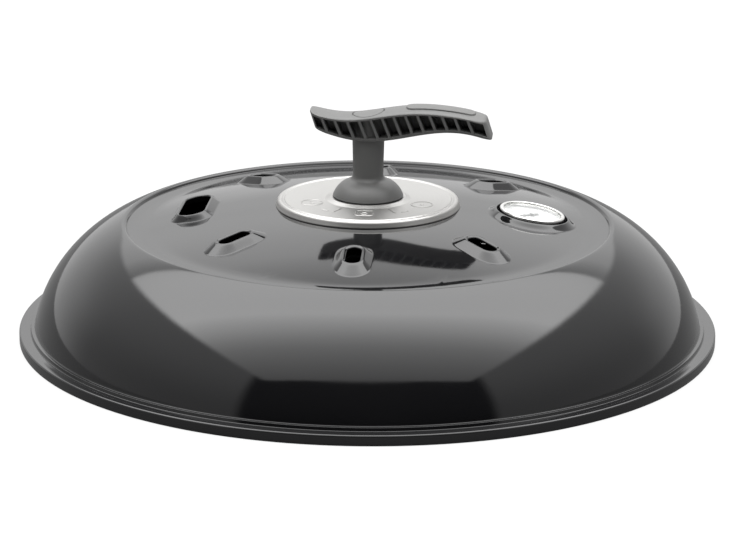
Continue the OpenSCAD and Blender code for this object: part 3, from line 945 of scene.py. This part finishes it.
# ---- Settings, panel and registration ------------------------------------------------------
class LidSizes(bpy.types.PropertyGroup):
    """Sizes of the lid's own pieces"""
    rim_radius: bpy.props.FloatProperty(
        name="Rim radius", description="Outer radius over the rolled rim",
        default=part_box("lid_dome")[1].x, unit="LENGTH")
    sheet: bpy.props.FloatProperty(
        name="Sheet", description="Thickness of the enamelled steel", default=0.0012, unit="LENGTH")
    disc_radius: bpy.props.FloatProperty(
        name="Disc radius", description="Outer radius of the disc under the handle",
        default=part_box("heat_shield_disc")[1].x, unit="LENGTH")
    bezel_radius: bpy.props.FloatProperty(
        name="Bezel radius", description="Outer radius of the thermometer's bezel",
        default=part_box("thermometer_bezel")[1].y, unit="LENGTH")


class LidLook(bpy.types.PropertyGroup):
    """Colours of the lid's finishes"""
    enamel: bpy.props.FloatVectorProperty(
        name="Enamel", description="Colour of the porcelain enamel", subtype="COLOR",
        default=(0.0045, 0.0045, 0.005), min=0, max=1)
    stainless: bpy.props.FloatVectorProperty(
        name="Stainless", description="Colour of the bare steel", subtype="COLOR",
        default=(0.72, 0.715, 0.70), min=0, max=1)
    bare_steel: bpy.props.FloatVectorProperty(
        name="Disc steel", description="Colour of the brushed disc", subtype="COLOR",
        default=(0.40, 0.395, 0.385), min=0, max=1)
    plastic: bpy.props.FloatVectorProperty(
        name="Plastic", description="Colour of the grip and its stem", subtype="COLOR",
        default=(0.085, 0.085, 0.083), min=0, max=1)


class LidStage(bpy.types.PropertyGroup):
    """The camera and the light"""
    camera_place: bpy.props.FloatVectorProperty(
        name="Camera", description="Where the camera stands", subtype="XYZ", unit="LENGTH",
        default=(0.1662, -2.0714, 0.6528))
    heading: bpy.props.FloatProperty(
        name="Heading", description="Turn of the camera to the left", unit="ROTATION",
        default=math.radians(4.6))
    pitch: bpy.props.FloatProperty(
        name="Pitch", description="How far the camera looks down", unit="ROTATION",
        default=math.radians(16.40))
    roll: bpy.props.FloatProperty(
        name="Roll", description="Tilt of the camera about its own axis", unit="ROTATION",
        default=math.radians(0.31))
    lens: bpy.props.FloatProperty(
        name="Lens", description="Focal length in millimetres", default=147.67)
    light: bpy.props.FloatProperty(
        name="Light", description="Strength of the studio light", default=1.0)
    floor_glow: bpy.props.FloatProperty(
        name="Floor glow", description="How far the pale floor is lit from below", default=0.86)


OPERATORS = (KETTLELID_OT_dome, KETTLELID_OT_disc, KETTLELID_OT_marks, KETTLELID_OT_grip,
             KETTLELID_OT_grip_pad, KETTLELID_OT_cap, KETTLELID_OT_stem, KETTLELID_OT_gauge,
             KETTLELID_OT_fittings, KETTLELID_OT_stage)


class KETTLELID_PT_tools(bpy.types.Panel):
    """Lists the lid's pieces"""
    bl_idname = "KETTLELID_PT_tools"
    bl_label = "Grill Lid"
    bl_space_type = "VIEW_3D"
    bl_region_type = "UI"
    bl_category = "Grill Lid"

    def draw(self, context):
        for made in OPERATORS:
            self.layout.operator(made.bl_idname)
        for group in (context.scene.lid_sizes, context.scene.lid_look, context.scene.lid_stage):
            for name in group.bl_rna.properties.keys():
                if name not in ("rna_type", "name"):
                    self.layout.prop(group, name)


GROUPS = {"lid_sizes": LidSizes, "lid_look": LidLook, "lid_stage": LidStage}
CLASSES = (*GROUPS.values(), *OPERATORS, KETTLELID_PT_tools)


def register():
    for made in CLASSES:
        bpy.utils.register_class(made)
    for name, group in GROUPS.items():
        setattr(bpy.types.Scene, name, bpy.props.PointerProperty(type=group))


def unregister():
    for name in GROUPS:
        delattr(bpy.types.Scene, name)
    for made in reversed(CLASSES):
        bpy.utils.unregister_class(made)


def main():
    register()
    make_finishes(bpy.context.scene.lid_look)
    for made in OPERATORS:
        group, name = made.bl_idname.split(".")
        getattr(getattr(bpy.ops, group), name)()


if __name__ == "__main__":
    main()
